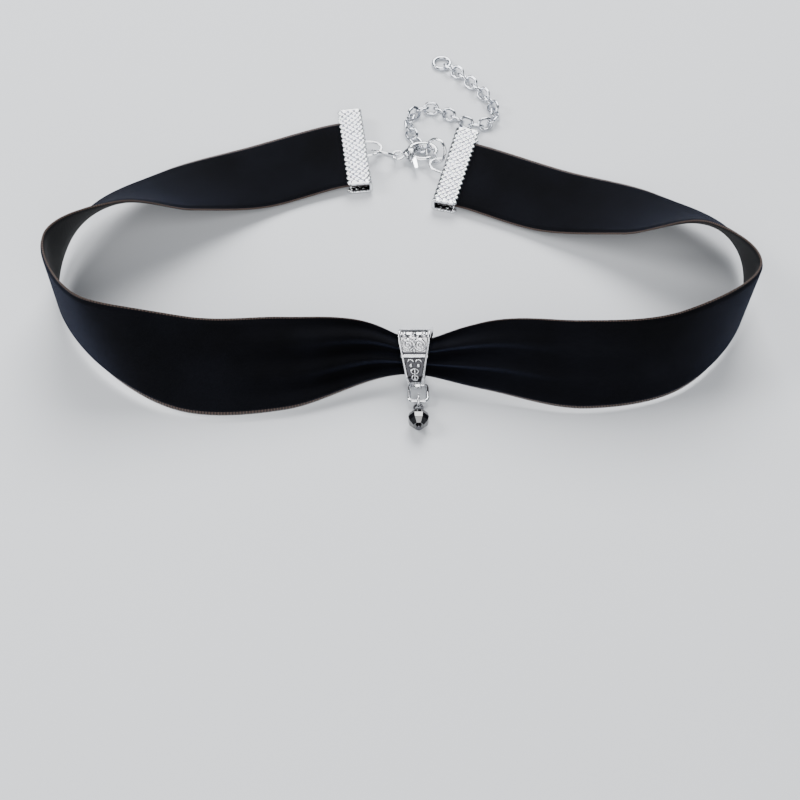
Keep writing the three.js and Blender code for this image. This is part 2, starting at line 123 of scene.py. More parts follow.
def blend_colours(tree, share, first, second):
    """A colour that goes from first to second as share goes from 0 to 1."""
    mix = add(tree, "ShaderNodeMix", {"Factor": share}, data_type="RGBA")
    for socket, value in ((mix.inputs[6], first), (mix.inputs[7], second)):
        if isinstance(value, bpy.types.NodeSocket):
            tree.links.new(value, socket)
        else:
            socket.default_value = (*value, 1)
    return mix.outputs[2]


def between(tree, value, low, high, start=0.0, end=1.0):
    """value, which runs from low to high, stretched to run from start to end."""
    stretch = {"Value": value, "From Min": low, "From Max": high, "To Min": start, "To Max": end}
    return add(tree, "ShaderNodeMapRange", stretch).outputs["Result"]


def new_material(name, **principled):
    """A material with one Principled shader, whose plain sockets are given by name."""
    material = bpy.data.materials.new(name)
    material.use_nodes = True
    tree = material.node_tree
    shader = tree.nodes["Principled BSDF"]
    for socket, value in principled.items():
        shader.inputs[socket.replace("_", " ")].default_value = value
    return material, tree, shader


def drive(tree, shader, **outputs):
    """Joins node outputs to the shader's sockets, which are given by name."""
    for socket, output in outputs.items():
        tree.links.new(output, shader.inputs[socket.replace("_", " ")])


# %% [markdown]
# ## Table
# The table only has to be pale, dull and wide, so that it shows the shadows and gives the metal
# something light to mirror. It is one large grid just under the lowest point of the choker. A faint
# mottle keeps it from looking like an empty background.

# %% Table
pale, pale_tree, pale_shader = new_material("pale_table", Roughness=0.7)
table_grain = add(pale_tree, "ShaderNodeTexNoise", {"Scale": 60.0, "Detail": 3.0})
pale_colour = blend_colours(pale_tree, table_grain.outputs["Fac"], (0.70, 0.72, 0.75), (0.74, 0.76, 0.79))
drive(pale_tree, pale_shader, Base_Color=pale_colour)

TABLE_HALF = 6.0
TABLE_DROP = 0.03 * MM
table_mesh = bpy.data.meshes.new("table")
bm = bmesh.new()
bmesh.ops.create_grid(bm, x_segments=4, y_segments=4, size=TABLE_HALF)
bmesh.ops.translate(bm, vec=(0, 0, -TABLE_DROP), verts=bm.verts)
bm.to_mesh(table_mesh)
bm.free()
table_mesh.materials.append(pale)
table = bpy.data.objects.new("table", table_mesh)
in_scene.link(table)

# %% [markdown]
# ## Light and air
# Jewellery is lit with big soft panels, because polished metal shows whatever stands round it: a wide
# panel gives long smooth highlights, and the dark gaps between panels give the metal its contrast. A
# panel stands behind, a small one on the left, and a tall one in front, which the bail and one facet
# of the drop mirror. The air itself only fills the shadows.

# %% Light
AIR_STRENGTH = 0.18
air = bpy.data.worlds.new("studio_air")
air.use_nodes = True
air.node_tree.nodes["Background"].inputs["Color"].default_value = (0.80, 0.86, 0.95, 1)
air.node_tree.nodes["Background"].inputs["Strength"].default_value = AIR_STRENGTH
bpy.context.scene.world = air

# Each panel: where its middle is, the length of its side in metres, and its power in watts.
PANELS = table_of(
    "name at side watts",
    ("back_panel", (0.05, 0.42, 0.5), 0.42, 6.5),
    ("left_panel", (-0.5, 0.05, 0.4), 0.25, 2.5),
    ("front_panel", (0.05, -0.7, 0.66), 0.85, 9.0))
for panel in PANELS:
    lamp = bpy.data.lights.new(panel["name"], "AREA")
    lamp.size = panel["side"]
    lamp.energy = panel["watts"]
    lamp_object = bpy.data.objects.new(panel["name"], lamp)
    lamp_object.location = panel["at"]
    lamp_object.rotation_euler = Vector(panel["at"]).to_track_quat("Z", "Y").to_euler()
    in_scene.link(lamp_object)
print("panels:", len(PANELS))

# %% [markdown]
# ## Shared effect: fine marks
# Effects that more than one material uses are node groups, so that they are made once. Fine marks are
# the hairline scratches and faint clouds that every handled plated surface carries. The scratches are
# a noise that is stretched along one direction, and the clouds are the same noise left round.

# %% Group: fine marks on plated metal
marks = bpy.data.node_groups.new("fine_marks", "ShaderNodeTree")
marks.interface.new_socket("Density", in_out="INPUT", socket_type="NodeSocketFloat")
marks.interface.new_socket("Scratches", in_out="OUTPUT", socket_type="NodeSocketFloat")
marks.interface.new_socket("Clouds", in_out="OUTPUT", socket_type="NodeSocketFloat")
marks_in = add(marks, "NodeGroupInput")
marks_out = add(marks, "NodeGroupOutput")
marks_place = add(marks, "ShaderNodeTexCoord").outputs["Object"]
marks_long = add(marks, "ShaderNodeMapping", {"Vector": marks_place, "Scale": (1.0, 0.12, 0.4)})
marks_long.inputs["Rotation"].default_value = (0.3, 0.2, 0.7)
scratch_noise = add(marks, "ShaderNodeTexNoise", {
    "Vector": marks_long.outputs["Vector"], "Scale": marks_in.outputs["Density"], "Detail": 3.0})
cloud_noise = add(marks, "ShaderNodeTexNoise", {"Vector": marks_place, "Scale": 420.0, "Detail": 2.0})
marks.links.new(between(marks, scratch_noise.outputs["Fac"], 0.55, 0.75), marks_out.inputs["Scratches"])
marks.links.new(between(marks, cloud_noise.outputs["Fac"], 0.35, 0.65), marks_out.inputs["Clouds"])

# %% [markdown]
# ## Shared effect: cloth grain
# Soft cloth is never one even tone. It has tufts a fraction of a millimetre wide, and broad areas
# where a hand has brushed the pile one way or the other. Two noises of very different size give both.

# %% Group: grain of soft cloth
grain = bpy.data.node_groups.new("cloth_grain", "ShaderNodeTree")
grain.interface.new_socket("Tuft Scale", in_out="INPUT", socket_type="NodeSocketFloat")
grain.interface.new_socket("Tufts", in_out="OUTPUT", socket_type="NodeSocketFloat")
grain.interface.new_socket("Brushing", in_out="OUTPUT", socket_type="NodeSocketFloat")
grain_in = add(grain, "NodeGroupInput")
grain_out = add(grain, "NodeGroupOutput")
grain_place = add(grain, "ShaderNodeTexCoord").outputs["Object"]
tuft_noise = add(grain, "ShaderNodeTexNoise", {
    "Vector": grain_place, "Scale": grain_in.outputs["Tuft Scale"], "Detail": 4.0, "Roughness": 0.7})
brush_noise = add(grain, "ShaderNodeTexNoise", {"Vector": grain_place, "Scale": 70.0, "Detail": 3.0})
grain.links.new(between(grain, tuft_noise.outputs["Fac"], 0.25, 0.75), grain_out.inputs["Tufts"])
grain.links.new(between(grain, brush_noise.outputs["Fac"], 0.35, 0.65), grain_out.inputs["Brushing"])
print("groups:", marks.name, grain.name)

# %% [markdown]
# ## Velvet, its woven back and its selvage
# Velvet is a woven ground with a dense cut pile on one side. Light that strikes the pile end on is
# swallowed, and light that grazes it comes back, so velvet is nearly black face on and glows along
# every edge that turns away. The Principled shader's sheen does exactly that. The back is a close flat
# weave with a dull satin gloss, drawn from the ribbon's own UV map so that its threads follow the
# ribbon round. The selvage is the firm bound edge, where brownish ground threads show.

# %% Cloth finishes
RIBBON_LENGTH = 288.0
RIBBON_WIDTH = 18.0
RIBBON_WALL = 1.0
RIBBON_GIRTH = 2 * (RIBBON_WIDTH + RIBBON_WALL)
# The wave texture's coordinate grows by this in one wave.
WAVE_LENGTH = TURN / 20


def bump(tree, height, depth_mm, strength=1.0):
    """The normals of a surface whose height runs from 0 to depth_mm."""
    made = add(tree, "ShaderNodeBump", {"Height": height, "Strength": strength, "Distance": depth_mm * MM})
    return made.outputs["Normal"]


def thread_coordinates(tree):
    """The ribbon's UV map in millimetres: x along the ribbon, y round its section."""
    uv = add(tree, "ShaderNodeUVMap", uv_map="ribbon_uv").outputs["UV"]
    size = (RIBBON_LENGTH, RIBBON_GIRTH, 1.0)
    return add(tree, "ShaderNodeMapping", {"Vector": uv, "Scale": size}).outputs["Vector"]


def thread_bands(tree, place, direction, per_mm):
    """Round threads side by side along one direction of the ribbon's UV map."""
    return add(tree, "ShaderNodeTexWave", {
        "Vector": place, "Scale": per_mm * WAVE_LENGTH, "Distortion": 0.6, "Detail": 1.0,
        "Detail Scale": 1.5}, bands_direction=direction).outputs["Fac"]


velvet_pile, tree, shader = new_material(
    "velvet_pile", Roughness=0.9, Specular_IOR_Level=0.08, Sheen_Weight=0.11, Sheen_Roughness=0.30,
    Sheen_Tint=(0.30, 0.38, 0.72, 1))
cloth = add(tree, "ShaderNodeGroup", {"Tuft Scale": 7500.0}, node_tree=grain)
pile_tone = blend_colours(tree, cloth.outputs["Tufts"], (0.0008, 0.0009, 0.0014), (0.0045, 0.0050, 0.0085))
pile_lay = blend_colours(tree, cloth.outputs["Brushing"], (0.0010, 0.0011, 0.0018), pile_tone)
drive(tree, shader, Base_Color=pile_lay, Normal=bump(tree, cloth.outputs["Tufts"], 0.12, 0.6))

woven_back, tree, shader = new_material(
    "woven_back", Specular_IOR_Level=0.12, Sheen_Weight=0.03, Sheen_Roughness=0.4)
threads = thread_coordinates(tree)
warp = thread_bands(tree, threads, "Y", 3.2)
weft = thread_bands(tree, threads, "X", 2.6)
weave = add(tree, "ShaderNodeMath", {0: warp, 1: weft}, operation="MAXIMUM").outputs[0]
cloth = add(tree, "ShaderNodeGroup", {"Tuft Scale": 1800.0}, node_tree=grain)
back_tone = blend_colours(tree, weave, (0.0010, 0.0010, 0.0016), (0.0050, 0.0052, 0.0075))
back_lay = blend_colours(tree, cloth.outputs["Brushing"], back_tone, (0.0025, 0.0026, 0.0038))
satin = between(tree, weave, 0.0, 1.0, 0.75, 0.5)
drive(tree, shader, Base_Color=back_lay, Roughness=satin, Normal=bump(tree, weave, 0.08, 0.6))

selvage_thread, tree, shader = new_material(
    "selvage_thread", Roughness=0.65, Specular_IOR_Level=0.3, Sheen_Weight=0.15, Sheen_Roughness=0.4)
binding = thread_bands(tree, thread_coordinates(tree), "X", 2.2)
edge_tone = blend_colours(tree, binding, (0.012, 0.008, 0.008), (0.085, 0.055, 0.045))
drive(tree, shader, Base_Color=edge_tone, Normal=bump(tree, binding, 0.12, 0.8))
print("cloth finishes:", velvet_pile.name, woven_back.name, selvage_thread.name)

# %% [markdown]
# ## Bright plating, its oxidised form and painted shade
# Every metal piece is a cheap base metal with a bright silver-coloured plating. The clasp, rings and chain
# are plainly polished. The clamps are polished too, and the grooves of their knurl carry painted shade, a
# near-black colour for the shade that falls in them. The bail is oxidised: dark in its hollows and rubbed
# bright on its high places, which is what makes small ornament readable, and its top carries painted
# light, which lightens its hollows there. The eye pin's plating is painted dark all over, as painted
# shade. One function makes these finishes, and reads how high each place stands from an attribute called
# relief, 0 in a hollow and 1 on a crest; on the bail's top the painted light raises it.

# %% Metal finishes
HOLLOW_BELOW = 0.12
CREST_ABOVE = 0.62


def plating(name, bright, hollow, gloss, dullness, density=1500.0):
    """A plated finish. Its hollows take the second colour, where the mesh says how its relief lies."""
    material, tree, shader = new_material(name, Metallic=1.0)
    wear = add(tree, "ShaderNodeGroup", {"Density": density}, node_tree=marks)
    toned = blend_colours(tree, wear.outputs["Clouds"], bright, [0.93 * part for part in bright])
    if hollow:
        relief = add(tree, "ShaderNodeAttribute", attribute_name="relief").outputs["Fac"]
        crest = between(tree, relief, HOLLOW_BELOW, CREST_ABOVE)
        toned = blend_colours(tree, crest, hollow, toned)
    scratches = wear.outputs["Scratches"]
    rough = between(tree, scratches, 0.0, 1.0, gloss, dullness)
    drive(tree, shader, Base_Color=toned, Roughness=rough, Normal=bump(tree, scratches, 0.01, 0.35))
    return material


bright_plating = plating("bright_plating", (0.80, 0.81, 0.83), None, 0.09, 0.22)
# Painted shade: the knurl's grooves take a near-black colour, for the shade that falls into them.
knurl_plating_painted_shade = plating("knurl_plating_painted_shade", (0.92, 0.93, 0.95), (0.09, 0.09, 0.11), 0.16, 0.32)
oxidised_plating = plating("oxidised_plating", (0.90, 0.90, 0.92), (0.045, 0.045, 0.05), 0.14, 0.34)
# Painted shade: the eye pin's plating takes a near-black colour in place of bright metal.
plating_painted_shade = plating("plating_painted_shade", (0.10, 0.10, 0.11), None, 0.22, 0.40)
chain_plating = plating("chain_plating", (0.66, 0.68, 0.72), None, 0.10, 0.26, 2400.0)

black_glass, tree, shader = new_material("black_glass", IOR=2.1, Coat_Weight=0.3, Coat_Roughness=0.03)
wear = add(tree, "ShaderNodeGroup", {"Density": 1800.0}, node_tree=marks)
glass_tone = blend_colours(tree, wear.outputs["Clouds"], (0.0030, 0.0030, 0.0040), (0.0065, 0.0065, 0.0080))
polish = between(tree, wear.outputs["Scratches"], 0.0, 1.0, 0.03, 0.12)
drive(tree, shader, Base_Color=glass_tone, Roughness=polish)
print("finishes in all:", len(bpy.data.materials))

# %% [markdown]
# ## Finishing a piece
# Each piece is made as a bmesh, Blender's editable mesh in memory. To finish one, its normals are
# turned outwards, it is written to a mesh with its materials, and its object stays at the origin with
# its place in its vertices. Then two calls say which body it moves with and which solid part it stands
# for.

# %% Piece helpers
def show(name, mesh, finishes, body, stands_for):
    """Puts a mesh into the scene as one piece of the choker."""
    for finish in finishes:
        mesh.materials.append(finish)
    piece = bpy.data.objects.new(name, mesh)
    in_scene.link(piece)
    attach(piece, body)
    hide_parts(*stands_for)
    print(f"{name}: {len(mesh.polygons)} faces")
    return piece


def merge(bm, distance):
    """Makes one vertex of those that lie closer together than the distance."""
    bmesh.ops.remove_doubles(bm, verts=bm.verts, dist=distance)


def thicken(bm, wall, direction):
    """Gives an open strip its wall, inwards. The part of it farthest along direction faces that way."""
    bm.normal_update()
    farthest = max(bm.faces, key=lambda face: face.calc_center_median().dot(direction))
    if farthest.normal.dot(direction) < 0:
        bmesh.ops.reverse_faces(bm, faces=bm.faces)
    bmesh.ops.solidify(bm, geom=bm.faces, thickness=wall)


def finish_piece(name, bm, finishes, stands_for, body="choker", smooth=True):
    """Closes a bmesh off as one piece, with its faces pointing out."""
    bmesh.ops.recalc_face_normals(bm, faces=bm.faces)
    mesh = bpy.data.meshes.new(name)
    bm.to_mesh(mesh)
    bm.free()
    mesh.polygons.foreach_set("use_smooth", [smooth] * len(mesh.polygons))
    return show(name, mesh, finishes, body, stands_for)


def wire(path, radius, closed=True, sides=12):
    """A bmesh of round wire along a list of points. An open wire has closed ends."""
    curve = bpy.data.curves.new("wire", "CURVE")
    curve.dimensions = "3D"
    curve.bevel_depth = radius
    curve.bevel_resolution = sides // 4
    curve.use_fill_caps = not closed
    spline = curve.splines.new("POLY")
    spline.points.add(len(path) - 1)
    for point, place in zip(spline.points, path):
        point.co = (*place, 1)
    spline.use_cyclic_u = closed
    holder = bpy.data.objects.new("wire", curve)
    mesh = bpy.data.meshes.new_from_object(holder)
    bm = bmesh.new()
    bm.from_mesh(mesh)
    merge(bm, radius / 100)
    bpy.data.objects.remove(holder)
    bpy.data.curves.remove(curve)
    bpy.data.meshes.remove(mesh)
    return bm


def joined(*parts):
    """One bmesh that holds several, for parts that are soldered together."""
    whole = bmesh.new()
    for part in parts:
        mesh = bpy.data.meshes.new("part")
        part.to_mesh(mesh)
        part.free()
        whole.from_mesh(mesh)
        bpy.data.meshes.remove(mesh)
    return whole


# %% [markdown]
# ## The ribbon's route
# A ribbon can't be bent in its own plane, so a lying ribbon twists: it lies flat behind, stands on its
# edge at both sides and leans back in front. Its route is a table of cross lines, the same ones that
# its solid part was made from: where the lower edge is, how far the band leans from upright, and which
# way. Smooth curves through the lower ends and the upper ends carry the band between them.

# %% Ribbon route
# Routes are in the choker's own coordinates, in millimetres. The end ring's middle is known both there
# and in the frame, which gives the frame's origin to a thousandth of a millimetre.
END_RING_AT = Vector((9.6, 75.4))
ring_low, ring_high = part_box("end_ring")
ORIGIN = Vector((END_RING_AT - (ring_low + ring_high).to_2d() / 2 / MM).to_tuple(3)).to_3d()
CROSS_LINES = table_of(
    "x y lift lean towards",
    (-8.0, 56.8, 1.5, 90, -82.4),
    (-12.9, 56.2, 1.5, 90, -82.4),
    (-29.5, 50.2, 1.2, 88, -75),
    (-46.5, 42, 2.5, 73, -62),
    (-60, 29.5, 4, 45, -42),
    (-63.5, 12.5, 1.5, 6, -60),
    (-55, -3.5, 1.5, 4, 130),
    (-39, -14.5, 0.8, 34, 78),
    (-20, -14.5, 0.5, 42, 88),
    (-2, -9.5, 0.8, 40, 91),
    (16, -11, 0.5, 32, 98),
    (34, -14, 0.5, 27, 102),
    (51.5, -9.5, 0.5, 15, 112),
    (63.5, 5.5, 1, 4, -60),
    (64.8, 23.5, 3.5, 40, -136),
    (51, 36, 2.5, 74, -120),
    (33.5, 43.6, 1.2, 88, -111),
    (17, 50.4, 1.5, 90, -103.9),
    (12.4, 51.6, 1.5, 90, -103.9))
GATHER = {"x": 3.8, "share": 0.5, "reach": 16, "neck": 0.14, "neck_reach": 6, "lift": 0.21}
PLEATS = 3
print("cross lines:", len(CROSS_LINES))

# %% [markdown]
# ## Curves along the route
# Blender has no centripetal Catmull-Rom curve, which passes through every cross line without loops, so
# it is worked out here. The band's section at any place follows from two of them.

# %% Curves along the route
def spline_point(points, t):
    """The point at t, from 0 to 1, of the centripetal Catmull-Rom curve through the points."""
    place = t * (len(points) - 1)
    i = min(int(place), len(points) - 2)
    weight = place - i
    b, c = points[i], points[i + 1]
    a = points[i - 1] if i > 0 else 2 * b - c
    d = points[i + 2] if i + 2 < len(points) else 2 * c - b
    before, here, after = [(q - p).length ** 0.5 for p, q in ((a, b), (b, c), (c, d))]
    leaving = ((b - a) / before - (c - a) / (before + here) + (c - b) / here) * here
    arriving = ((c - b) / here - (d - b) / (here + after) + (d - c) / after) * here
    square = -3 * b + 3 * c - 2 * leaving - arriving
    cube = 2 * b - 2 * c + leaving + arriving
    return b + leaving * weight + square * weight ** 2 + cube * weight ** 3


def spline_direction(points, t, step=0.0001):
    """The direction of the curve at t."""
    ahead = spline_point(points, min(t + step, 1))
    return (ahead - spline_point(points, max(t - step, 0))).normalized()


def upward(row):
    """The direction up the band at one cross line."""
    lean, towards = math.radians(row["lean"]), math.radians(row["towards"])
    flat = math.sin(lean)
    return Vector((flat * math.cos(towards), flat * math.sin(towards), math.cos(lean)))


lower_rail = [Vector((row["x"], row["y"], row["lift"])) - ORIGIN for row in CROSS_LINES]
upper_rail = [low + RIBBON_WIDTH * upward(row) for low, row in zip(lower_rail, CROSS_LINES)]
gather_x = GATHER["x"] - ORIGIN.x


def band_section(t):
    """The band's cross line at t: lower edge, direction up, direction along, outward side, width."""
    low = spline_point(lower_rail, t)
    up = (spline_point(upper_rail, t) - low).normalized()
    along = (spline_direction(lower_rail, t) + spline_direction(upper_rail, t)).normalized()
    out = along.cross(up).normalized()
    share = 1.0
    if low.y < -ORIGIN.y:
        away = low.x - gather_x
        share -= (1 - GATHER["share"]) * math.exp(-((away / GATHER["reach"]) ** 2))
        share -= GATHER["neck"] * math.exp(-((away / GATHER["neck_reach"]) ** 2))
    width = RIBBON_WIDTH * share
    return low + up * (RIBBON_WIDTH - width) * GATHER["lift"], up, along, out, width


STEPS = 720
for i in range(STEPS + 1):
    low, up, along, out, width = band_section(i / STEPS)

# %% [markdown]
# ## The ribbon band
# The band could be a flat strip with a thickness, but velvet's section isn't a plain rectangle: the
# pile stands up in the middle and stops short of the selvages, with a soft shoulder. So a grid is laid
# right round the section, front and back, its long sides are merged into one closed sleeve, and every
# vertex goes to its place by the route. Where the bail holds the band it is gathered, and what is left
# over from its width goes into pleats.

# %% Ribbon band
ALONG = 432
ROUND = 84
FRONT_SHARE = 0.6
PILE_HALF = 0.5
BACK_HALF = 0.34
SELVAGE = {"width": 0.55, "half": 0.16, "shoulder": 0.5, "rounding": 0.12}


def smooth_step(value):
    """0 below 0, 1 above 1, and a smooth rise between."""
    value = min(max(value, 0.0), 1.0)
    return value * value * (3 - 2 * value)


def across_at(q):
    """How far across the band a place of the sleeve is: q runs up the front and down the back."""
    return q / FRONT_SHARE if q < FRONT_SHARE else (1 - q) / (1 - FRONT_SHARE)


def section_point(q, width):
    """A point of the band's section: how far across, and how far out of its middle plane."""
    across = across_at(q)
    side, thick = (1, PILE_HALF) if q < FRONT_SHARE else (-1, BACK_HALF)
    edge = min(across, 1 - across) * width
    rounding = min(1.0, math.sqrt(max(edge, 0.0) / SELVAGE["rounding"]))
    rise = smooth_step((edge - SELVAGE["width"]) / SELVAGE["shoulder"])
    return across, side * (SELVAGE["half"] * rounding + (thick - SELVAGE["half"]) * rise)


def pleat(width, across):
    """How far the gathered cloth swings out of its plane."""
    spare = math.sqrt(max(RIBBON_WIDTH / width - 1, 0))
    return width / (math.pi * PLEATS) * spare * math.sin(TURN * PLEATS * across)


bm = bmesh.new()
bm.loops.layers.uv.new("ribbon_uv")
bmesh.ops.create_grid(bm, x_segments=ALONG, y_segments=ROUND, size=0.5, calc_uvs=True)
bm.faces.ensure_lookup_table()
for face in bm.faces:
    q = face.calc_center_median().y + 0.5
    across = across_at(q)
    bound = min(across, 1 - across) * RIBBON_WIDTH < SELVAGE["width"]
    face.material_index = 2 if bound else int(q > FRONT_SHARE)
for vert in bm.verts:
    t, q = vert.co.x + 0.5, vert.co.y + 0.5
    low, up, along, out, width = band_section(t)
    across, thick = section_point(q, width)
    vert.co = (low + up * width * across + out * (pleat(width, across) + thick)) * MM
merge(bm, MERGE_MM * MM)
bmesh.ops.holes_fill(bm, edges=[edge for edge in bm.edges if edge.is_boundary], sides=0)
ribbon = finish_piece("ribbon_band", bm, [velvet_pile, woven_back, selvage_thread], ["ribbon"])

# %% [markdown]
# ## Ribbon clamps
# A ribbon clamp is one piece of sheet metal, folded over the ribbon's end and pressed. Its mouth has
# small teeth that bite the cloth, and its outside is rolled with a diamond pattern. The sheet could be
# bent from a flat plate with the bend operators, but a grid that is wrapped round the fold by a formula
# lets the pattern follow the fold. The grid gets its thickness last, inwards.

# %% Clamp sizes
CLAMP = {"length": 20.6, "width": 5.0, "hold": 4.0, "half": 1.5, "fold": 0.7, "sheet": 0.55}
CLAMP_OVERHANG = 1.0
KNURL = {"pitch": 1.3, "depth": 0.17, "margin": 0.35, "from_mouth": 0.3}
TOOTH = {"depth": 0.5, "bite": 0.22, "length": 0.7}
EAR = {"base": 4.4, "reach": 3.2, "wire": 0.25, "root": 0.3, "clamp_left": 0.2, "clamp_right": -0.4}
EAR_STEPS = 32
FOLD_CELLS = 88
LENGTH_CELLS = 150
# The fold's section, from one mouth edge: a flat plate, a quarter bend, half of the spine, and back.
FLAT = CLAMP["width"] - CLAMP["fold"]
BEND = CLAMP["fold"] * TURN / 4
SPINE_HALF = CLAMP["half"] - CLAMP["fold"]
FOLD_LENGTH = 2 * (FLAT + BEND + SPINE_HALF)
print(f"clamp plate: {FOLD_LENGTH:.1f} mm round its fold")

# %% [markdown]
# ## The clamp's fold and its diamonds
# The section is followed from one mouth edge round the spine to the other. The diamonds are two sets of
# slanting grooves, and at each place the lower height counts.

# %% Fold and diamonds
def fold_point(s):
    """A point of the folded plate's section and its outward direction, s millimetres from the mouth."""
    if s > FOLD_LENGTH / 2:
        point, out = fold_point(FOLD_LENGTH - s)
        return Vector((point.x, 0, -point.z)), Vector((out.x, 0, -out.z))
    if s <= FLAT:
        return Vector((s - CLAMP["width"] / 2, 0, CLAMP["half"])), Vector((0, 0, 1))
    if s <= FLAT + BEND:
        angle = (s - FLAT) / CLAMP["fold"]
        out = Vector((math.sin(angle), 0, math.cos(angle)))
        centre = Vector((CLAMP["width"] / 2 - CLAMP["fold"], 0, SPINE_HALF))
        return centre + out * CLAMP["fold"], out
    return Vector((CLAMP["width"] / 2, 0, SPINE_HALF - (s - FLAT - BEND))), Vector((1, 0, 0))


def saw(value):
    """A wave of straight flanks, from 0 at whole numbers to 1 half way between them."""
    return 1 - abs(2 * (value % 1) - 1)


def knurl(s, y):
    """The diamond pattern's height, 0 in its grooves and 1 on its points."""
    one, other = (s + y) / KNURL["pitch"], (s - y) / KNURL["pitch"]
    height = min(saw(one), saw(other)) * 2
    side = CLAMP["length"] / 2 - abs(y)
    mouth = min(s, FOLD_LENGTH - s)
    inside = smooth_step(min(side, mouth - KNURL["from_mouth"]) / KNURL["margin"])
    return 1 - (1 - min(height, 1.0)) * inside


# %% [markdown]
# ## The two clamps
# Plate and ear are soldered into one piece, which is turned with the end of the band that it holds.

# %% Clamps: build
def clamp_bmesh():
    """The folded plate, lying flat with its mouth towards -X."""
    bm = bmesh.new()
    relief = bm.verts.layers.float.new("relief")
    bmesh.ops.create_grid(bm, x_segments=FOLD_CELLS, y_segments=LENGTH_CELLS, size=0.5)
    for vert in bm.verts:
        s, y = (vert.co.x + 0.5) * FOLD_LENGTH, vert.co.y * CLAMP["length"]
        point, out = fold_point(s)
        height = knurl(s, y)
        mouth = smooth_step(1 - min(s, FOLD_LENGTH - s) / TOOTH["length"])
        gap = 1 - saw(y / KNURL["pitch"])
        point.x += TOOTH["depth"] * gap * mouth
        point -= out * (KNURL["depth"] * (1 - height) + TOOTH["bite"] * mouth)
        # The knurl's height is kept as relief, which paints shade into its grooves.
        vert[relief] = height
        vert.co = point + Vector((0, y, 0))
    return bm


def ear_bmesh(offset):
    """The half round eye on the clamp's back, as bent wire."""
    half = CLAMP["width"] / 2
    reach, base = EAR["reach"] - EAR["wire"], EAR["base"] / 2 - EAR["wire"]
    path = [(half - EAR["root"], offset - base, 0)]
    for i in range(EAR_STEPS + 1):
        angle = TURN / 2 * (i / EAR_STEPS) - TURN / 4
        path.append((half + reach * math.cos(angle), offset + base * math.sin(angle), 0))
    path.append((half - EAR["root"], offset + base, 0))
    return wire(path, EAR["wire"], closed=False)


def make_clamp(name, t):
    """Presses a clamp on one end of the band: t is 0 or 1."""
    low, up, along, out, width = band_section(t)
    back = (along * (-1 if t == 0 else 1)).to_2d().normalized().to_3d()
    middle = low + up * (width / 2 - CLAMP_OVERHANG) + back * (CLAMP["width"] / 2 - CLAMP["hold"])
    place = Matrix.Translation(middle * MM) @ Matrix.Rotation(math.atan2(back.y, back.x), 4, "Z")
    place = place @ Matrix.Scale(MM, 4)
    plate = clamp_bmesh()
    thicken(plate, CLAMP["sheet"], Vector((1, 0, 0)))
    ear = ear_bmesh(EAR[name])
    relief = ear.verts.layers.float.new("relief")
    for vert in ear.verts:
        vert[relief] = 1.0
    bm = joined(plate, ear)
    bmesh.ops.transform(bm, matrix=place, verts=bm.verts)
    return finish_piece(name + "_folded", bm, [knurl_plating_painted_shade], [name])


make_clamp("clamp_left", 0)
make_clamp("clamp_right", 1)

# %% [markdown]
# ## Jump rings
# A jump ring is a turn of round wire cut from a coil, so it has a fine cut where its ends meet. Its
# place and tilt are read from its solid part: the middle of the part's vertices is the ring's centre,
# and the direction in which they spread the least is the way that the ring faces.

# %% Rings
def lie_of(node):
    """How a solid part lies: its middle, its three main directions, longest first, and its half sizes."""
    points = np.array([vert.co for vert in frame["nodes"][node].data.vertices])
    middle = (points.max(axis=0) + points.min(axis=0)) / 2
    directions = np.linalg.svd(points - points.mean(axis=0), full_matrices=False)[2]
    spans = (points - middle) @ directions.T
    half = [float(span) for span in (spans.max(axis=0) - spans.min(axis=0)) / 2]
    return Vector(middle), [Vector(direction) for direction in directions], half


CUT = math.radians(3)
RING_STEPS = 72


def jump_ring(node, finish, cut_at):
    """A ring of wire in place of a solid ring, with its cut at the given angle in radians."""
    middle, directions, half = lie_of(node)
    first, second = directions[:2]
    radius = half[2]
    mean = max(half[0], half[1]) - radius
    path = []
    for i in range(RING_STEPS + 1):
        angle = cut_at + CUT / 2 + (TURN - CUT) * i / RING_STEPS
        path.append(middle + mean * (first * math.cos(angle) + second * math.sin(angle)))
    print(f"{node}: mean radius {mean / MM:.2f} mm, wire {2 * radius / MM:.2f} mm")
    return finish_piece(node + "_wire", wire(path, radius, closed=False), [finish], [node])


jump_ring("ring_left", bright_plating, cut_at=0.7)
jump_ring("ring_right", bright_plating, cut_at=2.6)
jump_ring("end_ring", chain_plating, cut_at=4.0)
jump_ring("drop_ring", bright_plating, cut_at=1.1)

# %% [markdown]
# ## Lobster clasp
# The clasp's body and lever are castings, so their edges are soft and every corner has a fillet. The
# solid parts are crisp and faceted. A copy of each is remeshed into a fine even skin and relaxed a few
# times, which rounds the facets and fills the corners just as a casting's are. The rivet gets domed
# heads, spun from a short profile.

# %% Clasp
def cast_copy(node, body, voxel, rounds):
    """A softened copy of a solid part: voxel is its skin's grain in millimetres, rounds its smoothing."""
    bm = bmesh.new()
    bm.from_mesh(frame["nodes"][node].data)
    merge(bm, MERGE_MM / 2 * MM)
    rough = bpy.data.meshes.new(node)
    bm.to_mesh(rough)
    bm.free()
    holder = bpy.data.objects.new("casting", rough)
    in_scene.link(holder)
    skin = holder.modifiers.new("skin", "REMESH")
    skin.mode = "VOXEL"
    skin.voxel_size = voxel * MM
    relax = holder.modifiers.new("relax", "SMOOTH")
    relax.iterations = rounds
    cast = bpy.data.meshes.new_from_object(holder.evaluated_get(bpy.context.evaluated_depsgraph_get()))
    bpy.data.objects.remove(holder)
    cast.materials.clear()
    cast.polygons.foreach_set("use_smooth", [True] * len(cast.polygons))
    return show(node + "_cast", cast, [bright_plating], body, [node])


cast_copy("clasp_body", "choker", voxel=0.07, rounds=8)
cast_copy("clasp_lever", "lever", voxel=0.06, rounds=6)

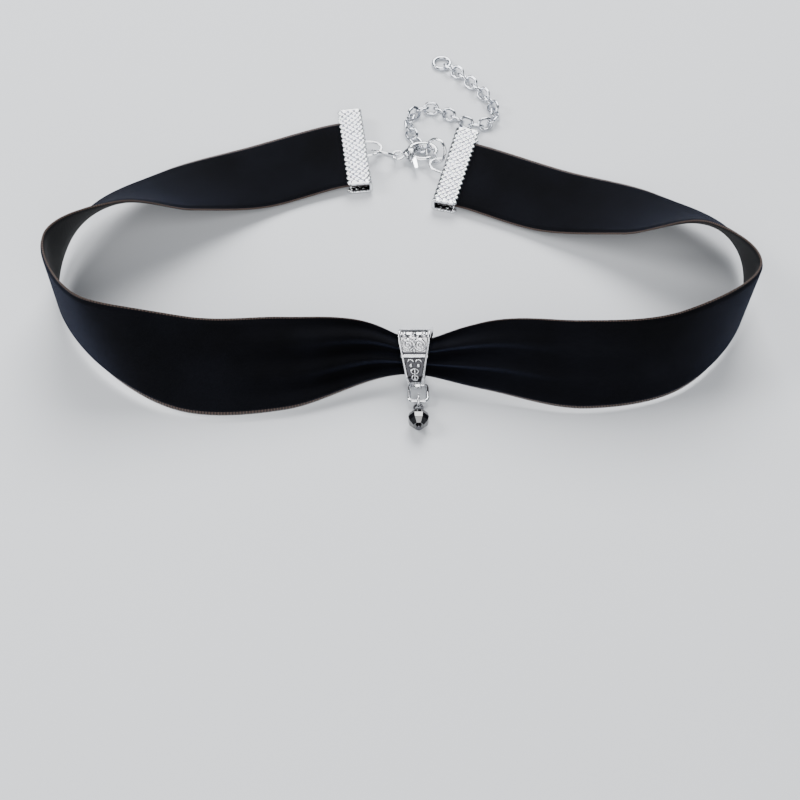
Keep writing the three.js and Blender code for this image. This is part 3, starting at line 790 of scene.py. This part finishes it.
# The rivet's profile from the crown of its head to its shank, which is mirrored for the other head.
RIVET_PROFILE = table_of(
    "r z",
    (0.0, 1.5),
    (0.3, 1.46),
    (0.5, 1.3),
    (0.5, 1.22),
    (0.42, 1.2))
rivet_middle = lie_of("clasp_pin")[0]
bm = bmesh.new()
half_profile = [(corner["r"], 0, corner["z"]) for corner in RIVET_PROFILE]
other_half = [(r, 0, -z) for r, y, z in reversed(half_profile)]
corners = [bm.verts.new(place) for place in half_profile + other_half]
profile = [bm.edges.new(pair) for pair in zip(corners, corners[1:])]
bmesh.ops.spin(bm, geom=corners + profile, axis=(0, 0, 1), cent=(0, 0, 0), angle=TURN, steps=28,
               use_merge=True)
merge(bm, MERGE_MM / 2)
bmesh.ops.transform(bm, matrix=Matrix.Translation(rivet_middle) @ Matrix.Scale(MM, 4), verts=bm.verts)
finish_piece("clasp_rivet", bm, [bright_plating], ["clasp_pin"])

# %% [markdown]
# ## Extension chain
# The chain is about two dozen small oval links. Each is threaded through the last, so neighbours are
# rolled a quarter turn apart, and lying on a table they lean half way to each side. A loop sets them
# along the same route as the solid chain, each one oval turn of wire. The first link is a part of its
# own, because it holds on the clasp's ring, and the second dives under the clasp's hook.

# %% Chain links
LINK = {"length": 3.4, "width": 2.8, "wire": 0.3}
LINK_STEPS = 40
PITCH = 2.1
OFF_TABLE = 0.02
UP = Vector((0, 0, 1))
SECOND_LINK = {"near": (5.7, 49.1, 0.8), "far": (4.35, 51.35, 0.4)}
CHAIN_ROUTE = table_of(
    "x y roll",
    (4.7, 50.75, 6),
    (3.6, 52.8, 25),
    (2.4, 56.0, 45),
    (3.4, 59.8, 45),
    (6.2, 61.5, 38),
    (9.2, 60.6, 45),
    (12.2, 58.2, 48),
    (15.4, 56.4, 40),
    (18.6, 56.4, 45),
    (20.5, 58.8, 48),
    (19.9, 62.0, 42),
    (18.2, 65.4, 45),
    (15.4, 69.0, 45),
    (12.3, 72.6, 40),
    (10.4, 74.6, 30))


def oval(middle, along, across):
    """The middle line of one link's wire, in millimetres."""
    round_half = LINK["width"] / 2 - LINK["wire"]
    straight = LINK["length"] / 2 - LINK["wire"] - round_half
    path = []
    for i in range(LINK_STEPS):
        angle = TURN * i / LINK_STEPS
        ahead = math.copysign(straight, math.cos(angle)) + round_half * math.cos(angle)
        path.append(middle + along * ahead + across * round_half * math.sin(angle))
    return path


def make_link(name, middle, along, across, stands_for):
    """One link, from its middle and the directions of its length and width, in millimetres."""
    path = [point * MM for point in oval(middle, along, across)]
    return finish_piece(name, wire(path, LINK["wire"] * MM), [chain_plating], [stands_for])


# %% [markdown]
# ## Laying the links
# The first two links have their own places, and a loop lays the others along the route.

# %% Chain: laid along its route
first_middle, first_directions = lie_of("chain_link_first")[:2]
make_link("chain_link_01", first_middle / MM, *first_directions[:2], "chain_link_first")

near, far = (Vector(SECOND_LINK[end]) - ORIGIN for end in ("near", "far"))
along = (far - near).normalized()
across = along.cross(UP).normalized()
make_link("chain_link_02", (near + far) / 2, along, across, "chain")

route = [Vector((row["x"], row["y"], 0)) - ORIGIN for row in CHAIN_ROUTE]
rolls = [Vector((row["roll"], i, 0)) for i, row in enumerate(CHAIN_ROUTE)]
ROUTE_STEPS = 1400
track = [spline_point(route, i / ROUTE_STEPS) for i in range(ROUTE_STEPS + 1)]
run = [0.0]
for here, there in zip(track, track[1:]):
    run.append(run[-1] + (there - here).length)
reach = LINK["length"] / 2 - LINK["wire"]
link_count = round((run[-1] - 2 * reach) / PITCH) + 1
pitch = (run[-1] - 2 * reach) / (link_count - 1)
for k in range(link_count):
    t_start, t_middle, t_end = (np.interp(k * pitch + reach * n, run, range(len(run))) for n in (0, 1, 2))
    start, end = (spline_point(route, t / ROUTE_STEPS) for t in (t_start, t_end))
    roll = math.radians(spline_point(rolls, t_middle / ROUTE_STEPS).x) * (1 if k % 2 else -1)
    along = (end - start).normalized()
    across = along.cross(UP) * math.cos(roll) + UP * math.sin(roll)
    lying = (LINK["width"] / 2 - LINK["wire"]) * abs(math.sin(roll)) + LINK["wire"] + OFF_TABLE
    make_link(f"chain_link_{k + 3:02d}", (start + end) / 2 + UP * lying, along, across, "chain")
print(f"chain: {link_count + 2} links, {pitch:.2f} mm apart, {run[-1]:.0f} mm long")

# %% [markdown]
# ## Bail: its place and its loop
# The bail is a cast loop that the gathered ribbon passes through. It sits square on the band, so its
# axes are the band's own at the gather: along it, up it and out of it. Seen from the side the loop is
# four soft quarter turns, walked here in even steps.

# %% Bail: where it sits and its loop
BAIL = {"top": 5.4, "foot": 4.55, "half": 2.7, "corner": 1.75, "wall": 0.7}
BAIL_HALF_WIDTH = {"top": 2.9, "foot": 1.55, "from": 3.9, "to": -3.8}
GATHER_SEARCH = {"from": 700, "to": 1300, "steps": 2000}
BEND_STEPS = 14
LOOP_STEPS = 288


def from_gather(step):
    """How far from the gather the band's lower edge is, at one step of the search along it."""
    return abs(spline_point(lower_rail, step / GATHER_SEARCH["steps"]).x - gather_x)


def bail_place():
    """The matrix that sets the bail on the gather: X along the band, Y up it, Z out of it."""
    nearest = min(range(GATHER_SEARCH["from"], GATHER_SEARCH["to"]), key=from_gather)
    low, up, along, out, width = band_section(nearest / GATHER_SEARCH["steps"])
    middle = (low + up * width / 2) * MM
    axes = Matrix((up.cross(out), up, out)).transposed().to_4x4()
    return Matrix.Translation(middle) @ axes @ Matrix.Scale(MM, 4)


def bend(a, b, c):
    """Points along a quadratic curve from a to c that heads for b."""
    parts = [i / BEND_STEPS for i in range(BEND_STEPS)]
    return [a * (1 - t) ** 2 + b * 2 * t * (1 - t) + c * t ** 2 for t in parts]


def loop_line():
    """The loop's outline as points of (up, out), evenly spaced, from the middle of its back."""
    top, foot, half, corner = BAIL["top"], -BAIL["foot"], BAIL["half"], BAIL["corner"]
    corners = (
        ((top - corner, -half), (top, -half), (top, 0)),
        ((top, 0), (top, half), (top - corner, half)),
        ((foot + corner, half), (foot, half), (foot, 0)),
        ((foot, 0), (foot, -half), (foot + corner, -half)),
    )
    rough = [Vector((0, -half))]
    for places in corners:
        rough += bend(*(Vector(place) for place in places))
    rough.append(Vector((0, -half)))
    walked = [0.0]
    for a, b in zip(rough, rough[1:]):
        walked.append(walked[-1] + (b - a).length)
    ups, outs = [p.x for p in rough], [p.y for p in rough]
    ways = np.linspace(0, walked[-1], LOOP_STEPS + 1)
    return list(zip(np.interp(ways, walked, ups), np.interp(ways, walked, outs)))


bail_matrix = bail_place()
loop = loop_line()
print(f"bail: {len(loop) - 1} steps round its loop")

# %% [markdown]
# ## Bail: its ornament
# The front of the bail carries raised ornament: a rail along each side, a pair of scrolls under a fan
# of leaves, a bar, two arches, rows of beads and a twining stem. It could be modelled curl by curl, but
# on a casting it is one continuous surface, so each motif is a short formula that says how high the
# metal stands at a place, and the highest motif wins.

# %% Bail: sizes of its ornament
RAIL = {"width": 0.5, "height": 0.34}
SCROLLS = {"x": 1.06, "y": 3.1, "reach": 1.2, "step": 0.5, "half": 0.2, "height": 0.28, "fade": 0.15}
BAR = {"y": 0.98, "half": 0.34, "height": 0.3}
BEADS = table_of(
    "x y r",
    (0.0, 4.05, 0.34),
    (1.75, 4.75, 0.38),
    (0.0, 1.95, 0.3),
    (0.68, -0.8, 0.36),
    (0.0, -4.1, 0.22),
    (0.5, -4.1, 0.24))
FAN = {"y": 4.6, "leaves": 5, "root": 0.25, "reach": 0.95, "height": 0.26, "fade": 0.2}
ARCHES = {"x": 0.72, "y": -0.15, "r": 0.5, "half": 0.13, "height": 0.22}
STEM = {"top": -1.25, "foot": -3.6, "half": 0.16, "height": 0.26}
LEAF = {"reach": 0.75, "half": 0.15, "shortest": 0.12, "loss": 0.35}
# Painted light: above this height the bail's hollows are lightened, for the light that falls on its top.
PAINTED_TOP_LIGHT = {"from": 1.6, "over": 0.2, "tone": 0.32}
FRONT = {"from": 0.2, "over": 1.4}
print("beads on the bail:", len(BEADS))

# %% [markdown]
# ## Bail: its motifs
# Each motif has its own function, and uses how far a place is from the bail's middle line.

# %% Bail: motifs
def half_width(up):
    """Half of the bail's width at a height on it."""
    share = (up - BAIL_HALF_WIDTH["to"]) / (BAIL_HALF_WIDTH["from"] - BAIL_HALF_WIDTH["to"])
    share = min(max(share, 0.0), 1.0)
    return BAIL_HALF_WIDTH["foot"] + (BAIL_HALF_WIDTH["top"] - BAIL_HALF_WIDTH["foot"]) * share


def ridge(distance, half):
    """A round-topped ridge: 1 on its middle line and 0 from half away."""
    return math.sqrt(max(0.0, 1 - (distance / half) ** 2))


def scroll_height(x, y):
    """A pair of scrolls that curl towards each other."""
    dx, dy = abs(x) - SCROLLS["x"], y - SCROLLS["y"]
    r = math.hypot(dx, dy)
    turn = math.atan2(dy, dx) / TURN
    off = (r / SCROLLS["step"] - turn) % 1 - 0.5
    fade = smooth_step((SCROLLS["reach"] - r) / SCROLLS["fade"])
    return SCROLLS["height"] * ridge(off * SCROLLS["step"], SCROLLS["half"]) * fade


def fan_height(x, y):
    """A fan of leaves that opens upwards at the top of the bail."""
    dy = y - FAN["y"] + FAN["reach"] / 2
    r = math.hypot(x, dy)
    if dy < 0 or not FAN["root"] < r < FAN["reach"]:
        return 0.0
    blade = abs(math.sin(math.atan2(x, dy) * FAN["leaves"] / 2))
    return FAN["height"] * (1 - blade ** 2) * smooth_step((FAN["reach"] - r) / FAN["fade"])


def arch_height(x, y):
    """Two small arches side by side under the bar."""
    dy = y - ARCHES["y"]
    off = math.hypot(abs(x) - ARCHES["x"], dy) - ARCHES["r"]
    return ARCHES["height"] * ridge(off, ARCHES["half"]) if dy > 0 else 0.0


def stem_height(x, y):
    """A stem down the middle, with pairs of leaves."""
    if not STEM["foot"] < y < STEM["top"]:
        return 0.0
    run = (STEM["top"] - y) / (STEM["top"] - STEM["foot"])
    leaf = LEAF["reach"] * abs(math.sin(run * TURN)) * (1 - LEAF["loss"] * run)
    vein = ridge(abs(x), STEM["half"])
    edge = ridge(abs(x) - leaf, LEAF["half"]) if leaf > LEAF["shortest"] else 0.0
    return STEM["height"] * max(vein, edge)


def ornament(x, y):
    """How high the front stands at x and y, in millimetres."""
    inside = half_width(y) - abs(x)
    heights = [RAIL["height"] * ridge(inside - RAIL["width"] / 2, RAIL["width"] / 2)]
    if inside > RAIL["width"]:
        heights += [scroll_height(x, y), fan_height(x, y), arch_height(x, y)]
    heights.append(BAR["height"] * ridge(y - BAR["y"], BAR["half"]))
    heights.append(stem_height(x, y))
    for bead in BEADS:
        away = math.hypot(abs(x) - abs(bead["x"]), y - bead["y"])
        heights.append(bead["r"] * ridge(away, bead["r"]))
    return max(heights)


# %% [markdown]
# ## Bail: the casting
# A fine grid is wrapped round the loop as the bail's inner face and tapered towards its foot. Extruding
# all of it makes a second skin, which moves out by the wall and by the ornament, and the extrude closes
# the sides. How high each place stands is kept as the relief that the oxidised finish reads, and painted
# light on the bail's top raises that relief, so the hollows there are painted lighter.

# %% Bail: build
ACROSS = 96
bm = bmesh.new()
relief = bm.verts.layers.float.new("relief")
step_at = bm.verts.layers.float.new("step")
rise = bm.verts.layers.float.new("rise")
outwards = []
for i in range(len(loop)):
    (up_a, out_a), (up_b, out_b) = loop[max(i - 1, 0)], loop[min(i + 1, len(loop) - 1)]
    outwards.append(Vector((0, out_b - out_a, up_a - up_b)).normalized())
bmesh.ops.create_grid(bm, x_segments=len(loop) - 1, y_segments=ACROSS, size=0.5)
for vert in bm.verts:
    i = round((vert.co.x + 0.5) * (len(loop) - 1))
    up, out = loop[i]
    x = 2 * vert.co.y * half_width(up)
    front = smooth_step((out - FRONT["from"]) / FRONT["over"])
    vert[rise] = ornament(x, up) * front
    # Painted light on the bail's top, kept in the relief, lightens its hollows there.
    tone = PAINTED_TOP_LIGHT["tone"] * smooth_step((up - PAINTED_TOP_LIGHT["from"]) / PAINTED_TOP_LIGHT["over"])
    vert[relief] = max(vert[rise] / RAIL["height"], tone, 1 - front)
    vert[step_at] = i
    vert.co = Vector((x, up, out)) - outwards[i] * BAIL["wall"]
merge(bm, MERGE_MM)
made = bmesh.ops.extrude_face_region(bm, geom=bm.faces[:])
for vert in made["geom"]:
    if isinstance(vert, bmesh.types.BMVert):
        vert.co += outwards[round(vert[step_at])] * (BAIL["wall"] + vert[rise])

# %% [markdown]
# ## Bail: its eye
# The eye is soldered to the bail's foot, so both are one piece. It is a flat ring of metal, and a torus
# would be round in section, so an oval is spun round the ring's axis instead.

# %% Bail: its eye
EYE = {"drop": 5.2, "mean": 0.82, "half": 0.75, "wall": 0.32, "relief": 0.8}
eye = bmesh.new()
bmesh.ops.create_circle(eye, segments=16, radius=1)
bmesh.ops.scale(eye, vec=(EYE["half"], EYE["wall"] / 2, 1), verts=eye.verts)
bmesh.ops.translate(eye, vec=(0, EYE["mean"], 0), verts=eye.verts)
bmesh.ops.spin(eye, geom=eye.verts[:] + eye.edges[:], axis=(1, 0, 0), cent=(0, 0, 0), angle=TURN, steps=40,
               use_merge=True)
bmesh.ops.translate(eye, vec=(0, -EYE["drop"], 0), verts=eye.verts)
bmesh.ops.recalc_face_normals(eye, faces=eye.faces)
eye_relief = eye.verts.layers.float.new("relief")
for vert in eye.verts:
    vert[eye_relief] = EYE["relief"]
bm = joined(bm, eye)
bmesh.ops.transform(bm, matrix=bail_matrix, verts=bm.verts)
finish_piece("bail_cast", bm, [oxidised_plating], ["bail"])

# %% [markdown]
# ## Stirrup
# A stirrup-shaped link of thick wire hangs in the bail's eye and carries a small ring. Its middle line
# is a rectangle with four rounded corners, each a quarter turn.

# %% Stirrup
STIRRUP = {"length": 3.6, "width": 3.3, "corner": 0.7, "wire": 0.36}
CORNER_STEPS = 8
middle, directions = lie_of("u_link")[:2]
sideways = Vector((1, 0, 0))
down = directions[2].cross(sideways).normalized()
path = []
for side_x, side_y, quarter in ((1, 1, 0), (-1, 1, 1), (-1, -1, 2), (1, -1, 3)):
    centre_x = side_x * (STIRRUP["width"] / 2 - STIRRUP["corner"])
    centre_y = side_y * (STIRRUP["length"] / 2 - STIRRUP["corner"])
    for i in range(CORNER_STEPS + 1):
        angle = TURN / 4 * (quarter + i / CORNER_STEPS)
        x = centre_x + STIRRUP["corner"] * math.cos(angle)
        y = centre_y + STIRRUP["corner"] * math.sin(angle)
        path.append(middle + (sideways * x + down * y) * MM)
finish_piece("stirrup", wire(path, STIRRUP["wire"] * MM, sides=16), [bright_plating], ["u_link"])

# %% [markdown]
# ## Eye pin
# Through the small ring goes the loop of an eye pin: one wire, plated but painted dark as painted shade,
# bent into a loop above the drop, run through it and ended in a flat head below. The whole drop lies with
# its lower end raised a little, so pin and drop share one place.

# %% Eye pin
DROP = {"length": 3.6, "radius": 2.0, "tilt": 10, "facets": 8, "bevel": 0.04}
EYE_PIN = {"loop": 0.75, "wire": 0.22, "head": 0.55, "flatness": 0.24, "play": 0.3, "kink": 0.15}
KINK_ASIDE = 0.02
LOOP_GAP = math.radians(16)
PIN_STEPS = 40
bead_low, bead_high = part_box("drop_bead")
drop_place = Matrix.Translation((bead_low + bead_high) / 2)
drop_place = drop_place @ Matrix.Rotation(-math.radians(DROP["tilt"]), 4, "X") @ Matrix.Scale(MM, 4)
neck = DROP["length"] / 2 + EYE_PIN["play"]
path = []
for i in range(PIN_STEPS + 1):
    angle = -TURN / 4 + LOOP_GAP / 2 + (TURN - LOOP_GAP) * i / PIN_STEPS
    path.append((EYE_PIN["loop"] * math.cos(angle), neck + EYE_PIN["loop"] * (1 + math.sin(angle)), 0))
path.append((-KINK_ASIDE, neck - EYE_PIN["kink"], 0))
path.append((0, -neck, 0))
pin = wire(path, EYE_PIN["wire"], closed=False)
head = bmesh.new()
bmesh.ops.create_uvsphere(head, u_segments=20, v_segments=10, radius=EYE_PIN["head"])
bmesh.ops.scale(head, vec=(1, EYE_PIN["flatness"], 1), verts=head.verts)
bmesh.ops.translate(head, vec=(0, -neck - EYE_PIN["kink"], 0), verts=head.verts)
pin = joined(pin, head)
bmesh.ops.transform(pin, matrix=drop_place, verts=pin.verts)
finish_piece("eye_pin", pin, [plating_painted_shade], ["drop_pin"])

# %% [markdown]
# ## Drop
# The drop is black faceted glass. A cut bead is rings of corners joined by flat faces, so circles with
# eight corners are stacked and bridged, and a narrow bevel breaks every edge, as polishing does. Its
# faces stay flat shaded, because a facet is flat.

# %% Drop
# Each ring of corners: its height from the middle and its radius, as shares of the drop's own.
CORNER_RINGS = table_of(
    "height radius",
    (1.0, 0.5),
    (0.5, 0.88),
    (0.0, 1.0),
    (-0.5, 0.88),
    (-1.0, 0.5))
bm = bmesh.new()
flat_up = Matrix.Rotation(TURN / DROP["facets"] / 2, 4, "Z")
loops = []
for ring in CORNER_RINGS:
    radius, height = ring["radius"] * DROP["radius"], ring["height"] * DROP["length"] / 2
    corners = bmesh.ops.create_circle(bm, segments=DROP["facets"], radius=radius, matrix=flat_up)["verts"]
    bmesh.ops.translate(bm, vec=(0, 0, height), verts=corners)
    loops.append([edge for edge in bm.edges if edge.verts[0] in corners])
for upper, lower in zip(loops, loops[1:]):
    bmesh.ops.bridge_loops(bm, edges=upper + lower)
for rim in (loops[0], loops[-1]):
    bmesh.ops.contextual_create(bm, geom=rim)
bmesh.ops.bevel(bm, geom=bm.edges[:], offset=DROP["bevel"], offset_type="OFFSET", segments=1, profile=0.5,
                affect="EDGES", material=-1)
bmesh.ops.rotate(bm, matrix=Matrix.Rotation(-TURN / 4, 3, "X"), verts=bm.verts)
bmesh.ops.transform(bm, matrix=drop_place, verts=bm.verts)
finish_piece("faceted_drop", bm, [black_glass], ["drop_bead"], smooth=False)
